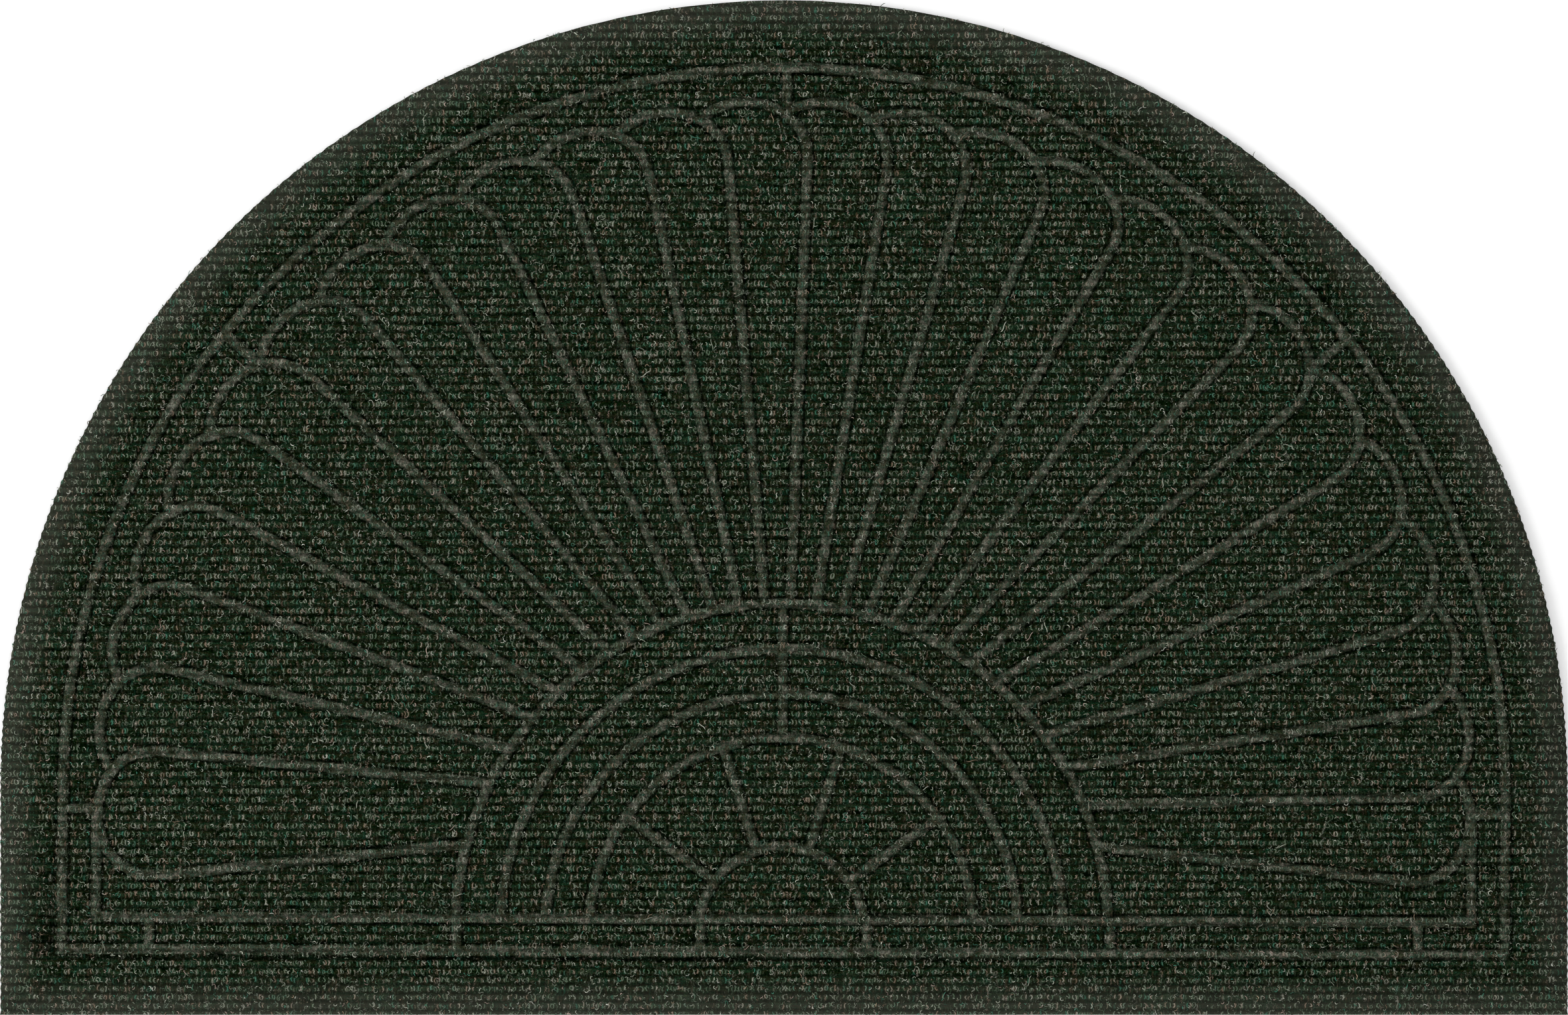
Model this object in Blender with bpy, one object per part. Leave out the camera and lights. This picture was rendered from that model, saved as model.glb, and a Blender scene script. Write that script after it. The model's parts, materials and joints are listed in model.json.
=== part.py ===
"""Half round doormat, moulded in one piece from ribbed needle punched carpet.

The mat is a flat slab with a half round top edge, short straight sides and a straight foot.
Its border slopes down to the cut edge. Inside the border a fanlight pattern stands up as ribs:
a frame, a hub of rings with spokes, and a fan of petals whose round heads all turn the same way.

Lengths are written in millimetres times MM. World axes: +X to the right along the foot, +Y from
the foot to the round edge, +Z up. The origin is on the floor under the middle of the mat.
"""
import math

import bmesh
import bpy
from mathutils import Matrix, Vector

MM = 0.001

# The slab
WIDTH = 863.6 * MM
DEPTH = 558.8 * MM
EDGE_HEIGHT = 4.0 * MM
FACE_HEIGHT = 6.0 * MM
BORDER_SLOPE = 31.0 * MM
OUTLINE_STEP = math.radians(3.0)
ARCH_RADIUS = WIDTH / 2
ARCH_Y = DEPTH / 2 - ARCH_RADIUS

# The cross-section of every rib, above the face of the slab and sunk into it
RIB_HALF_WIDTH = 3.5 * MM
RIB_SHOULDER = 2.4 * MM
RIB_SHOULDER_HEIGHT = 1.4 * MM
RIB_HEIGHT = 2.0 * MM
RIB_ROOT = 2.0 * MM

# A rib that ends on another one stops this far short of that rib's ridge
RIB_SETBACK = 0.5 * MM

# At a square corner the upright rib runs this far past the level rib's centre line
CORNER_LAP = 3.0 * MM

# The pattern's own frame: its centre is the centre of the frame's arch, and it was moulded
# slightly low and slightly turned against the cut outline
PATTERN_Y = ARCH_Y - 2.2 * MM
PATTERN_TURN = math.radians(-0.25)
FRAME_RADIUS = 396.9 * MM
HEAD_RADIUS = 378.4 * MM
OUTER_FOOT_Y = -89.9 * MM
INNER_FOOT_Y = -72.2 * MM
FAN_Y = -12.8 * MM
HUB_Y = -77.9 * MM
AXIS_X = -1.0 * MM

# The hub's rings, from the innermost, and its spokes
HUB_RINGS = (45.7 * MM, 106.0 * MM, 130.2 * MM, 155.0 * MM, 179.9 * MM)
HUB_SPOKES = 5
RING_STEP = math.radians(6.0)
FRAME_STEP = math.radians(4.0)

# The fan's petals. Their heads are divided evenly about a point above the fan's centre
PETALS = 26
PETAL_STEP = math.radians(7.62)
DIVIDING_RISE = 32.0 * MM
HEAD_REACH = 37.5 * MM
HEAD_RISE = 31.1 * MM
HEAD_STEPS = 9

# Short ties between the frame and the petal heads, and between the two foot ribs
FRAME_TIE_SPREAD = math.radians(51.2)
FRAME_TIE_INNER = HEAD_RADIUS - 5.0 * MM
FOOT_TIE_X = 349.1 * MM

CARPET_COLOUR = (0.021, 0.027, 0.022, 1.0)
WELD_DISTANCE = 0.01 * MM
LEVEL_ANGLE = math.radians(0.05)


def clear_scene():
    """Remove every object, so that the script always starts from an empty scene."""
    for item in list(bpy.data.objects):
        bpy.data.objects.remove(item, do_unlink=True)


def new_collection(name):
    """Add a collection to the scene."""
    collection = bpy.data.collections.new(name)
    bpy.context.scene.collection.children.link(collection)
    return collection


def carpet_material():
    """Dark green carpet."""
    material = bpy.data.materials.new("carpet")
    material.use_nodes = True
    material.diffuse_color = CARPET_COLOUR
    shader = material.node_tree.nodes["Principled BSDF"]
    shader.inputs["Base Color"].default_value = CARPET_COLOUR
    shader.inputs["Roughness"].default_value = 0.95
    shader.inputs["Metallic"].default_value = 0.0
    return material


def on_circle(centre, radius, angle):
    """The point of a circle at an angle from +X."""
    return Vector((centre.x + radius * math.cos(angle), centre.y + radius * math.sin(angle)))


def arc(centre, radius, start, end, step):
    """Points along an arc, at about an even step."""
    count = max(2, math.ceil(abs(end - start) / step))
    return [on_circle(centre, radius, start + (end - start) * i / count) for i in range(count + 1)]


def reach_circle(origin, angle, centre, radius):
    """How far a ray from inside a circle runs before it meets that circle."""
    direction = Vector((math.cos(angle), math.sin(angle)))
    offset = origin - centre
    along = offset.dot(direction)
    return -along + math.sqrt(along * along - offset.length_squared + radius * radius)


def outline():
    """The mat's cut edge: the arch, then the two square corners of the foot."""
    arch = arc(Vector((0, ARCH_Y)), ARCH_RADIUS, 0, math.pi, OUTLINE_STEP)
    return arch + [Vector((-WIDTH / 2, -DEPTH / 2)), Vector((WIDTH / 2, -DEPTH / 2))]


def frame_ribs():
    """The outer frame's arch with its sides and foot, and the inner foot with its short sides."""
    centre = Vector((0, 0))
    arch = arc(centre, FRAME_RADIUS, 0, math.pi, FRAME_STEP)
    corner = OUTER_FOOT_Y - CORNER_LAP
    frame = [Vector((FRAME_RADIUS, corner))] + arch + [Vector((-FRAME_RADIUS, corner))]
    outer_end = FRAME_RADIUS - RIB_SETBACK
    inner_end = HEAD_RADIUS - RIB_SETBACK
    outer_foot = [Vector((-outer_end, OUTER_FOOT_Y)), Vector((outer_end, OUTER_FOOT_Y))]
    inner_foot = [Vector((-inner_end, INNER_FOOT_Y)), Vector((inner_end, INNER_FOOT_Y))]
    sides = [
        [Vector((side * HEAD_RADIUS, INNER_FOOT_Y - CORNER_LAP)), Vector((side * HEAD_RADIUS, FAN_Y))]
        for side in (-1, 1)
    ]
    return [frame, outer_foot, inner_foot] + sides


def between_rings(centre, inner, outer, angle):
    """A straight rib at an angle from +X that runs from one ring to a larger one."""
    start = on_circle(centre, inner + RIB_SETBACK, angle)
    return [start, on_circle(centre, outer - RIB_SETBACK, angle)]


def hub_ribs():
    """Rings that stand on the inner foot, spokes in the middle, and the tie that crosses the rings."""
    hub = Vector((AXIS_X, HUB_Y))
    ribs = []
    for radius in HUB_RINGS:
        rise = math.asin((INNER_FOOT_Y + RIB_SETBACK - HUB_Y) / radius)
        ribs.append(arc(hub, radius, rise, math.pi - rise, RING_STEP))
    for spoke in range(1, HUB_SPOKES):
        angle = math.pi * spoke / HUB_SPOKES
        ribs.append(between_rings(hub, HUB_RINGS[0], HUB_RINGS[1], angle))
    ribs.append(between_rings(hub, HUB_RINGS[1], HUB_RINGS[-1], math.pi / 2))
    return ribs


def angle_from(centre, point):
    """The direction of a point from a centre, between a quarter turn below +X and three above."""
    offset = point - centre
    quarter = math.pi / 2
    return (math.atan2(offset.y, offset.x) + quarter) % math.tau - quarter


def petal_head(index):
    """The top of a petal's head on the head ring, as a direction and a distance from the fan's centre."""
    fan = Vector((AXIS_X, FAN_Y))
    divider = fan + Vector((0, DIVIDING_RISE))
    division = math.pi / 2 + PETAL_STEP * (index - (PETALS - 1) / 2)
    top = on_circle(divider, reach_circle(divider, division, Vector((0, 0)), HEAD_RADIUS), division)
    return angle_from(fan, top), (top - fan).length


def petal_rib(angle, top_radius, turn, sweep):
    """One radial rib from the hub's last ring, with the round head that it turns into.

    The head is part of an ellipse that leaves the rib without a corner. It turns towards
    larger angles where turn is 1, and sweep is how far round the ellipse it goes.
    """
    fan = Vector((AXIS_X, FAN_Y))
    start = reach_circle(fan, angle, Vector((AXIS_X, HUB_Y)), HUB_RINGS[-1])
    points = [on_circle(fan, start, angle)]
    for i in range(HEAD_STEPS + 1):
        round_head = sweep * i / HEAD_STEPS
        aside = HEAD_REACH * (1 - math.cos(round_head)) / top_radius
        radius = top_radius - HEAD_RISE * (1 - math.sin(round_head))
        points.append(on_circle(fan, radius, angle + turn * aside))
    return points


def fan_ribs():
    """The petals, each closed by the next rib's head, and the rib that closes the last, wide one."""
    tops = [petal_head(index) for index in range(PETALS)]
    angles = [head - HEAD_REACH / radius for head, radius in tops]
    closing_angle = math.pi - angles[0]
    ribs = []
    for (_, radius), angle, next_angle in zip(tops, angles, angles[1:] + [closing_angle]):
        half_width = (next_angle - angle) * radius / 2
        meeting = math.pi - math.acos(min(1, half_width / HEAD_REACH))
        ribs.append(petal_rib(angle, radius, 1, meeting))
    ribs.append(petal_rib(closing_angle, tops[-1][1], -1, meeting))
    return ribs


def tie_ribs():
    """Short ties from the frame to the petal heads, at the sides, and between the foot ribs."""
    centre = Vector((0, 0))
    ribs = []
    for offset in (-FRAME_TIE_SPREAD, 0, FRAME_TIE_SPREAD):
        ribs.append(between_rings(centre, FRAME_TIE_INNER, FRAME_RADIUS, math.pi / 2 + offset))
    for side in (-1, 1):
        inner_end = side * (HEAD_RADIUS + RIB_SETBACK)
        outer_end = side * (FRAME_RADIUS - RIB_SETBACK)
        ribs.append([Vector((inner_end, FAN_Y)), Vector((outer_end, FAN_Y))])
        for x in (HUB_RINGS[0], HUB_RINGS[-1], FOOT_TIE_X):
            low = Vector((side * x, OUTER_FOOT_Y + RIB_SETBACK))
            ribs.append([low, Vector((side * x, INNER_FOOT_Y - RIB_SETBACK))])
    return ribs


def curve_object(name, paths, closed, collection):
    """A curve object with one straight-sided spline for each path."""
    curve = bpy.data.curves.new(name, "CURVE")
    curve.dimensions = "2D"
    for path in paths:
        spline = curve.splines.new("POLY")
        spline.points.add(len(path) - 1)
        for point, place in zip(spline.points, path):
            point.co = (place.x, place.y, 0, 1)
        spline.use_cyclic_u = closed
    item = bpy.data.objects.new(name, curve)
    collection.objects.link(item)
    return item


def as_mesh(item, collection):
    """Replace a curve object by a mesh object of the same name, with its caps welded."""
    bpy.context.view_layer.update()
    evaluated = item.evaluated_get(bpy.context.evaluated_depsgraph_get())
    mesh = bpy.data.meshes.new_from_object(evaluated)
    name, place = item.name, item.matrix_world.copy()
    bpy.data.objects.remove(item, do_unlink=True)
    shape = bmesh.new()
    shape.from_mesh(mesh)
    bmesh.ops.remove_doubles(shape, verts=shape.verts, dist=WELD_DISTANCE)
    bmesh.ops.recalc_face_normals(shape, faces=shape.faces)
    shape.to_mesh(mesh)
    shape.free()
    solid = bpy.data.objects.new(name, mesh)
    solid.matrix_world = place
    collection.objects.link(solid)
    return solid


def make_slab(collection):
    """The flat slab, whose border slopes from the cut edge up to the face."""
    slab = curve_object("mat", [outline()], True, collection)
    slab.data.fill_mode = "BOTH"
    slab.data.extrude = EDGE_HEIGHT / 2
    slab.location.z = EDGE_HEIGHT / 2
    slab = as_mesh(slab, collection)
    shape = bmesh.new()
    shape.from_mesh(slab.data)
    bmesh.ops.transform(shape, matrix=slab.matrix_world, verts=shape.verts)
    slab.matrix_world = Matrix.Identity(4)
    level = [edge for edge in shape.edges if edge.calc_face_angle(0) < LEVEL_ANGLE]
    bmesh.ops.dissolve_edges(shape, edges=level, use_verts=False)
    top = max(shape.faces, key=lambda face: face.calc_center_median().z)
    bmesh.ops.inset_region(
        shape, faces=[top], thickness=BORDER_SLOPE, depth=FACE_HEIGHT - EDGE_HEIGHT, use_even_offset=True
    )
    shape.to_mesh(slab.data)
    shape.free()
    return slab


def rib_profile(collection):
    """The cross-section that every rib is drawn with, its root sunk below the face."""
    half = [
        Vector((RIB_HALF_WIDTH, -RIB_ROOT)),
        Vector((RIB_HALF_WIDTH, 0)),
        Vector((RIB_SHOULDER, RIB_SHOULDER_HEIGHT)),
    ]
    crown = [Vector((0, RIB_HEIGHT))]
    other_half = [Vector((-point.x, point.y)) for point in reversed(half)]
    return curve_object("rib_profile", [half + crown + other_half], True, collection)


def make_ribs(collection):
    """All ribs in one object, with their feet sunk into the slab."""
    profile = rib_profile(collection)
    paths = frame_ribs() + hub_ribs() + fan_ribs() + tie_ribs()
    ribs = curve_object("ribs", paths, False, collection)
    ribs.data.bevel_mode = "OBJECT"
    ribs.data.bevel_object = profile
    ribs.data.use_fill_caps = True
    ribs.location = (0, PATTERN_Y, FACE_HEIGHT)
    ribs.rotation_euler.z = PATTERN_TURN
    ribs = as_mesh(ribs, collection)
    bpy.data.objects.remove(profile, do_unlink=True)
    ribs.hide_render = True
    ribs.display_type = "WIRE"
    return ribs


def build_mat():
    """The whole mat as one solid."""
    parts = new_collection("half_round_doormat")
    cutters = new_collection("cutters")
    slab = make_slab(parts)
    ribs = make_ribs(cutters)
    union = slab.modifiers.new("ribs", "BOOLEAN")
    union.operation = "UNION"
    union.solver = "EXACT"
    union.use_self = True
    union.object = ribs
    slab.data.materials.append(carpet_material())
    return slab


clear_scene()
build_mat()
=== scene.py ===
"""Half round doormat: the looks of its ribbed, needle punched carpet.

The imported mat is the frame. Its plain solid is replaced by a finely cut copy whose face carries the
rows of the fabric, and loose fibres curl out of that face. Lengths are in metres, written in
millimetres times MM. +X runs to the right along the foot, +Y to the round edge and +Z up.
"""
import json
import logging
import math
from dataclasses import dataclass
from enum import Enum

import bmesh
import bpy
import numpy as np
from mathutils import Matrix, Vector, noise
from mathutils.bvhtree import BVHTree

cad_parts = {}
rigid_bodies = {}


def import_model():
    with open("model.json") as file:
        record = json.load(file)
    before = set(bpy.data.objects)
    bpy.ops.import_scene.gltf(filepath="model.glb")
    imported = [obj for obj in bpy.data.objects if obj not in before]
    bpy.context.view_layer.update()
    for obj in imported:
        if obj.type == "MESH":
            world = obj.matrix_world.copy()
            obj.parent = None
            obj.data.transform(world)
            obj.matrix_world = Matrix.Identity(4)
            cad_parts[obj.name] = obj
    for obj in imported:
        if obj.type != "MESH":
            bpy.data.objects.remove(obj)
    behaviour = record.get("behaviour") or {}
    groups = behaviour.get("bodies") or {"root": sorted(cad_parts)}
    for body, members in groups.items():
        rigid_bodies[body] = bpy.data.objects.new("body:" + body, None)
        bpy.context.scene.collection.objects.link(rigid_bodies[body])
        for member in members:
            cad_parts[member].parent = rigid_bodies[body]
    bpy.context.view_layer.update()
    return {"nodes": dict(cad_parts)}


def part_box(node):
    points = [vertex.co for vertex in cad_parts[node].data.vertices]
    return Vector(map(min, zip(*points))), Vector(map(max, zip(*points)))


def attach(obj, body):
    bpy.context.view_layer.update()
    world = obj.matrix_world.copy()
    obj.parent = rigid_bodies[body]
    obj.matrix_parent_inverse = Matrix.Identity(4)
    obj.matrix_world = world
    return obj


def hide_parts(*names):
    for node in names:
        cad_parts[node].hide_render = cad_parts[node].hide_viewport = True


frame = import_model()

MM = 0.001
WELD = 0.002 * MM
BODY = "root"
NODE = "mat"
BAKE_MAP = "OFBake"
ROW_PITCH = 4.73 * MM
LOOP_PITCH = 1.75 * MM
FACE_SHARE = 0.75
RIB_SHARE = 0.25
EDGE_SHARE = 0.5

logging.basicConfig(level=logging.INFO, format="%(levelname)s %(name)s: %(message)s")
log = logging.getLogger("doormat")

Colour = tuple[float, float, float, float]


class Channel(Enum):
    """The point attributes of the pile that its finish reads."""

    RIB = "rib"
    BORDER = "border"
    # The crease mask sinks the ground at the foot of the ribs and also paints shade there.
    CREASE_AND_SHADE = "crease"
    PILE = "pile"


@dataclass(frozen=True)
class MatPlan:
    """The mat's outline and heights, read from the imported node."""

    half_width: float
    foot_y: float
    top_y: float
    face_height: float
    rib_height: float
    edge_height: float

    @classmethod
    def from_node(cls, node: str) -> "MatPlan":
        """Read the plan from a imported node.

        Args:
            node: The node's name.

        Returns:
            The plan of the mat.
        """
        low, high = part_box(node)
        return cls(
            half_width=(high.x - low.x) / 2,
            foot_y=low.y,
            top_y=high.y,
            face_height=high.z * FACE_SHARE,
            rib_height=high.z * RIB_SHARE,
            edge_height=high.z * EDGE_SHARE,
        )

    @property
    def arch_y(self) -> float:
        """The height on the plan at which the half circle starts."""
        return self.top_y - self.half_width

    def outline(self, share: float) -> tuple[Vector, Vector]:
        """Find a place on the cut edge.

        Args:
            share: How far round the edge, from 0 at the right of the foot to 1.

        Returns:
            The place and the outward direction there, both level.
        """
        side = self.arch_y - self.foot_y
        arch = math.pi * self.half_width
        run = share * (2 * side + arch + 2 * self.half_width)
        if run < side:
            return Vector((self.half_width, self.foot_y + run, 0)), Vector((1, 0, 0))
        run -= side
        if run < arch:
            turn = run / self.half_width
            out = Vector((math.cos(turn), math.sin(turn), 0))
            return Vector((0, self.arch_y, 0)) + out * self.half_width, out
        run -= arch
        if run < side:
            return Vector((-self.half_width, self.arch_y - run, 0)), Vector((-1, 0, 0))
        run -= side
        return Vector((run - self.half_width, self.foot_y, 0)), Vector((0, -1, 0))


class Shading:
    """A material with short ways to add and join its nodes."""

    def __init__(self, name: str) -> None:
        """Start a material that has one Principled shader.

        Args:
            name: The material's name.
        """
        self.material = bpy.data.materials.new(name)
        self.material.use_nodes = True
        self.tree = self.material.node_tree
        self.shader = self.tree.nodes["Principled BSDF"]

    def feed(self, node: bpy.types.Node, socket: str | int, value: object) -> None:
        """Link a node's input to a socket, or set it to a constant.

        Args:
            node: The node that takes the value.
            socket: The input's name or number.
            value: An output socket or a constant.
        """
        if isinstance(value, bpy.types.NodeSocket):
            self.tree.links.new(value, node.inputs[socket])
        else:
            node.inputs[socket].default_value = value

    def add(self, kind: str, inputs: dict | None = None, **settings: object) -> bpy.types.Node:
        """Add a node.

        Args:
            kind: The node's type without its ShaderNode prefix.
            inputs: What its inputs take, by name or number.
            **settings: The node's own properties.

        Returns:
            The new node.
        """
        node = self.tree.nodes.new("ShaderNode" + kind)
        for name, value in settings.items():
            setattr(node, name, value)
        for socket, value in (inputs or {}).items():
            self.feed(node, socket, value)
        return node

    def calc(self, operation: str, first: object, second: object = 0.0, clamp: bool = False) -> object:
        """Add a Math node and return its result."""
        node = self.add("Math", {0: first, 1: second}, operation=operation, use_clamp=clamp)
        return node.outputs[0]

    def fade(self, value: object, low: float, high: float, start: float = 0.0, end: float = 1.0) -> object:
        """Turn a value that runs from low to high into a soft step.

        Args:
            value: The value to follow.
            low: Where the step starts.
            high: Where the step ends.
            start: The result at low.
            end: The result at high.

        Returns:
            The result's socket.
        """
        inputs = {"Value": value, "From Min": low, "From Max": high, "To Min": start, "To Max": end}
        return self.add("MapRange", inputs, interpolation_type="SMOOTHSTEP").outputs["Result"]

    def blend(self, share: object, first: object, second: object, mode: str = "MIX") -> object:
        """Mix two colours.

        Args:
            share: The share of the second colour.
            first: The first colour.
            second: The second colour.
            mode: The way they blend.

        Returns:
            The mixed colour's socket.
        """
        node = self.add("Mix", data_type="RGBA", blend_type=mode)
        self.feed(node, 0, share)
        self.feed(node, 6, first)
        self.feed(node, 7, second)
        return node.outputs[2]

    def ramp(self, value: object, stops: tuple[tuple[float, Colour], ...]) -> object:
        """Turn a value into a colour.

        Args:
            value: The value to follow.
            stops: The places and colours along the ramp.

        Returns:
            The colour's socket.
        """
        node = self.add("ValToRGB", {0: value})
        ends = node.color_ramp.elements
        while len(ends) < len(stops):
            ends.new(0.5)
        for end, (place, colour) in zip(ends, stops):
            end.position = place
            end.color = colour
        return node.outputs[0]

    def place(self, offset: tuple = (0, 0, 0), scale: tuple = (1, 1, 1)) -> object:
        """Give the object coordinates, moved and scaled."""
        source = self.add("TexCoord").outputs["Object"]
        return self.add("Mapping", {"Vector": source, "Location": offset, "Scale": scale}).outputs[0]

    def cloud(self, place: object, size: float, detail: float = 2.0, roughness: float = 0.5,
              distortion: float = 0.0) -> object:
        """Add a noise.

        Args:
            place: The coordinates it reads.
            size: The size of its patches in metres, or in the coordinates' own unit.
            detail: Its finer layers.
            roughness: The weight of the finer layers.
            distortion: How much it is stirred.

        Returns:
            The noise's value, about 0.5 on average.
        """
        inputs = {
            "Vector": place,
            "Scale": 1 / size,
            "Detail": detail,
            "Roughness": roughness,
            "Distortion": distortion,
        }
        return self.add("TexNoise", inputs).outputs["Fac"]

    def attribute(self, name: str, output: str = "Fac") -> object:
        """Read a point attribute of the mesh."""
        return self.add("Attribute", attribute_name=name).outputs[output]


@dataclass(frozen=True)
class PileField:
    """The sockets that the pile's colours and relief share."""

    spot: object
    streak: object
    pick: object
    loop: object
    tone: object
    fine: object
    grain: object
    drawn: object


@dataclass(frozen=True)
class PileFinish:
    """Dark green needle punched pile: mixed fibres in rows of small loops."""

    ground: tuple[tuple[float, Colour], ...] = (
        (0.32, (0.0004, 0.0022, 0.0002, 1)),
        (0.43, (0.0022, 0.0080, 0.0016, 1)),
        (0.50, (0.0110, 0.0120, 0.0046, 1)),
        (0.57, (0.0028, 0.0160, 0.0066, 1)),
        (0.70, (0.0200, 0.0310, 0.0140, 1)),
    )
    loops: tuple[tuple[float, Colour], ...] = (
        (0.05, (0.0040, 0.0130, 0.0030, 1)),
        (0.30, (0.0130, 0.0330, 0.0140, 1)),
        (0.48, (0.0400, 0.0470, 0.0260, 1)),
        (0.60, (0.0070, 0.0420, 0.0230, 1)),
        (0.74, (0.0500, 0.0360, 0.0190, 1)),
        (0.95, (0.0760, 0.0960, 0.0640, 1)),
    )
    # Colours of the flattened pile on the ribs; they are paler than the ground partly as the pile's own
    # colour and partly as painted light on the rib tops.
    rib: tuple[tuple[float, Colour], ...] = (
        (0.36, (0.0160, 0.0260, 0.0120, 1)),
        (0.45, (0.0600, 0.0540, 0.0360, 1)),
        (0.51, (0.0260, 0.0560, 0.0370, 1)),
        (0.57, (0.1000, 0.0900, 0.0680, 1)),
        (0.66, (0.1500, 0.1540, 0.1240, 1)),
    )
    strands: tuple[tuple[float, Colour], ...] = (
        (0.05, (0.1300, 0.1900, 0.1250, 1)),
        (0.30, (0.2200, 0.2700, 0.1950, 1)),
        (0.48, (0.3000, 0.3200, 0.2600, 1)),
        (0.60, (0.0600, 0.2100, 0.1400, 1)),
        (0.74, (0.3200, 0.2300, 0.1700, 1)),
        (0.95, (0.4200, 0.4300, 0.3600, 1)),
    )
    # The edge colour is partly the greyer flattened pile and partly painted light: the border is painted
    # paler towards the cut edge and darker by the frame.
    edge: Colour = (0.066, 0.068, 0.054, 1)
    back: Colour = (0.030, 0.036, 0.030, 1)
    stir_size: float = 2.4 * MM
    stir_share: float = 0.55
    streak_size: float = 3.2 * MM
    patch_size: float = 9 * MM
    grain_size: float = 0.75 * MM
    blotch_size: float = 4.5 * MM
    curl_size: float = 1.9 * MM
    arc_radius: float = 1.4 * MM
    crown_share: float = 0.72
    edge_share: float = 0.40
    strand_share: float = 0.62
    bump_height: float = 0.55 * MM
    bump_strength: float = 0.8

    def make(self) -> bpy.types.Material:
        """Make the material.

        Returns:
            The pile's material.
        """
        mat = Shading("dark_green_pile")
        field = self._lay_field(mat)
        crown = self._crown(mat, field)
        colour = self._mix_fibres(mat, field)
        # Painted light: the rib tops take a paler colour that fades down the walls, partly the flattened
        # pile's colour and partly light on the rounded crowns.
        colour = mat.blend(crown, colour, self._brushed_and_lit_rib(mat, field))
        # Painted light and shade: the border turns paler towards the cut edge and stays darker next to the
        # frame, with some greyer pile colour.
        border = mat.attribute(Channel.BORDER.value)
        rise = mat.calc("MULTIPLY", mat.fade(border, 0.15, 1.0), self.edge_share)
        colour = mat.blend(rise, colour, self.edge)
        strand = mat.ramp(field.pick[0], self.strands)
        colour = mat.blend(mat.calc("MULTIPLY", field.drawn, self.strand_share), colour, strand)
        # Painted shade: the colour is darkened in the row valleys and in the creases at the foot of the ribs.
        shade = self._row_shade(mat, field, mat.calc("MAXIMUM", crown, border))
        colour = mat.blend(1.0, colour, self._grey(mat, shade), "MULTIPLY")
        felt = mat.blend(1.0, self.back, self._grey(mat, field.grain), "MULTIPLY")
        colour = mat.blend(mat.attribute(Channel.PILE.value), felt, colour)
        mat.feed(mat.shader, "Base Color", colour)
        mat.feed(mat.shader, "Normal", self._relief(mat, field))
        mat.feed(mat.shader, "Roughness", mat.fade(field.fine, 0.2, 0.8, 0.98, 0.86))
        mat.feed(mat.shader, "Specular IOR Level", 0.0)
        return mat.material

    def _lay_field(self, mat: Shading) -> PileField:
        """Lay out the fibres' streaks and grain, and one cell with its arc for each loop.

        Args:
            mat: The material that they belong to.

        Returns:
            The values that the colours and the relief read.
        """
        spot = mat.place()
        grid = mat.place(offset=(0.5, 0.5, 0), scale=(1 / LOOP_PITCH, 1 / ROW_PITCH, 0))
        stir = mat.add("TexNoise", {"Vector": spot, "Scale": 1 / self.stir_size, "Detail": 1.0})
        sway = mat.add("VectorMath", {0: stir.outputs["Color"], 1: (0.5, 0.5, 0.5)}, operation="SUBTRACT")
        push = mat.add("VectorMath", {0: sway.outputs[0], "Scale": self.stir_share}, operation="SCALE")
        site = mat.add("VectorMath", {0: grid, 1: push.outputs[0]}, operation="ADD").outputs[0]
        cells = mat.add("TexVoronoi", {"Vector": site, "Scale": 1.0, "Randomness": 0.6},
                        voronoi_dimensions="2D")
        pick = mat.add("SeparateColor", {0: cells.outputs["Color"]}).outputs
        streak = mat.place(scale=(0.22, 1, 1))
        fine = mat.cloud(spot, self.grain_size, 3.0, 0.7, 0.6)
        arcs = self._arcs(mat, site, cells, pick[2], self.arc_radius / MM)
        arcs = mat.calc("MULTIPLY", arcs, mat.fade(pick[1], 0.30, 0.95))
        return PileField(
            spot=spot,
            streak=streak,
            pick=pick,
            loop=mat.fade(cells.outputs["Distance"], 0.12, 0.52, 1.0, 0.0),
            tone=mat.cloud(streak, self.streak_size, 3.0, 0.62),
            fine=fine,
            grain=mat.fade(fine, 0.34, 0.68, 0.15, 1.8),
            drawn=mat.calc("MAXIMUM", arcs, self._threads(mat, spot, self.curl_size, 7.0)),
        )

    def _mix_fibres(self, mat: Shading, field: PileField) -> object:
        """Colour the ground in streaks and each loop's tuft by its cell.

        Args:
            mat: The material that they belong to.
            field: The values that the colours read.

        Returns:
            The mixed colour.
        """
        ground = mat.ramp(field.tone, self.ground)
        hue = mat.calc("ADD", mat.calc("MULTIPLY", field.pick[0], 0.75),
                       mat.calc("MULTIPLY", mat.cloud(field.streak, self.patch_size), 0.30))
        tufts = mat.ramp(hue, self.loops)
        share = mat.fade(field.pick[1], 0.1, 0.9, 0.35, 1.0)
        show = mat.calc("MULTIPLY", field.loop, share, clamp=True)
        colour = mat.blend(show, ground, tufts)
        return mat.blend(1.0, colour, self._grey(mat, field.grain), "MULTIPLY")

    def _brushed_and_lit_rib(self, mat: Shading, field: PileField) -> object:
        """Colour the blotches of the flattened pile on the ribs, made paler partly as painted light on the
        rib tops.
        """
        blotch = mat.ramp(mat.cloud(field.spot, self.blotch_size, 4.0, 0.68), self.rib)
        grain = self._grey(mat, mat.fade(field.fine, 0.3, 0.7, 0.30, 1.7))
        return mat.blend(1.0, blotch, grain, "MULTIPLY")

    def _crown(self, mat: Shading, field: PileField) -> object:
        """Find the tops of the ribs, with frayed edges. The mask fades down the rib walls, so the paler rib
        colour is also painted light on the rounded tops.
        """
        fray = mat.fade(field.tone, 0.3, 0.7, -0.30, 0.30)
        frayed = mat.calc("ADD", mat.attribute(Channel.RIB.value), fray)
        return mat.fade(frayed, 0.30, 1.0, 0.0, self.crown_share)

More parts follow.
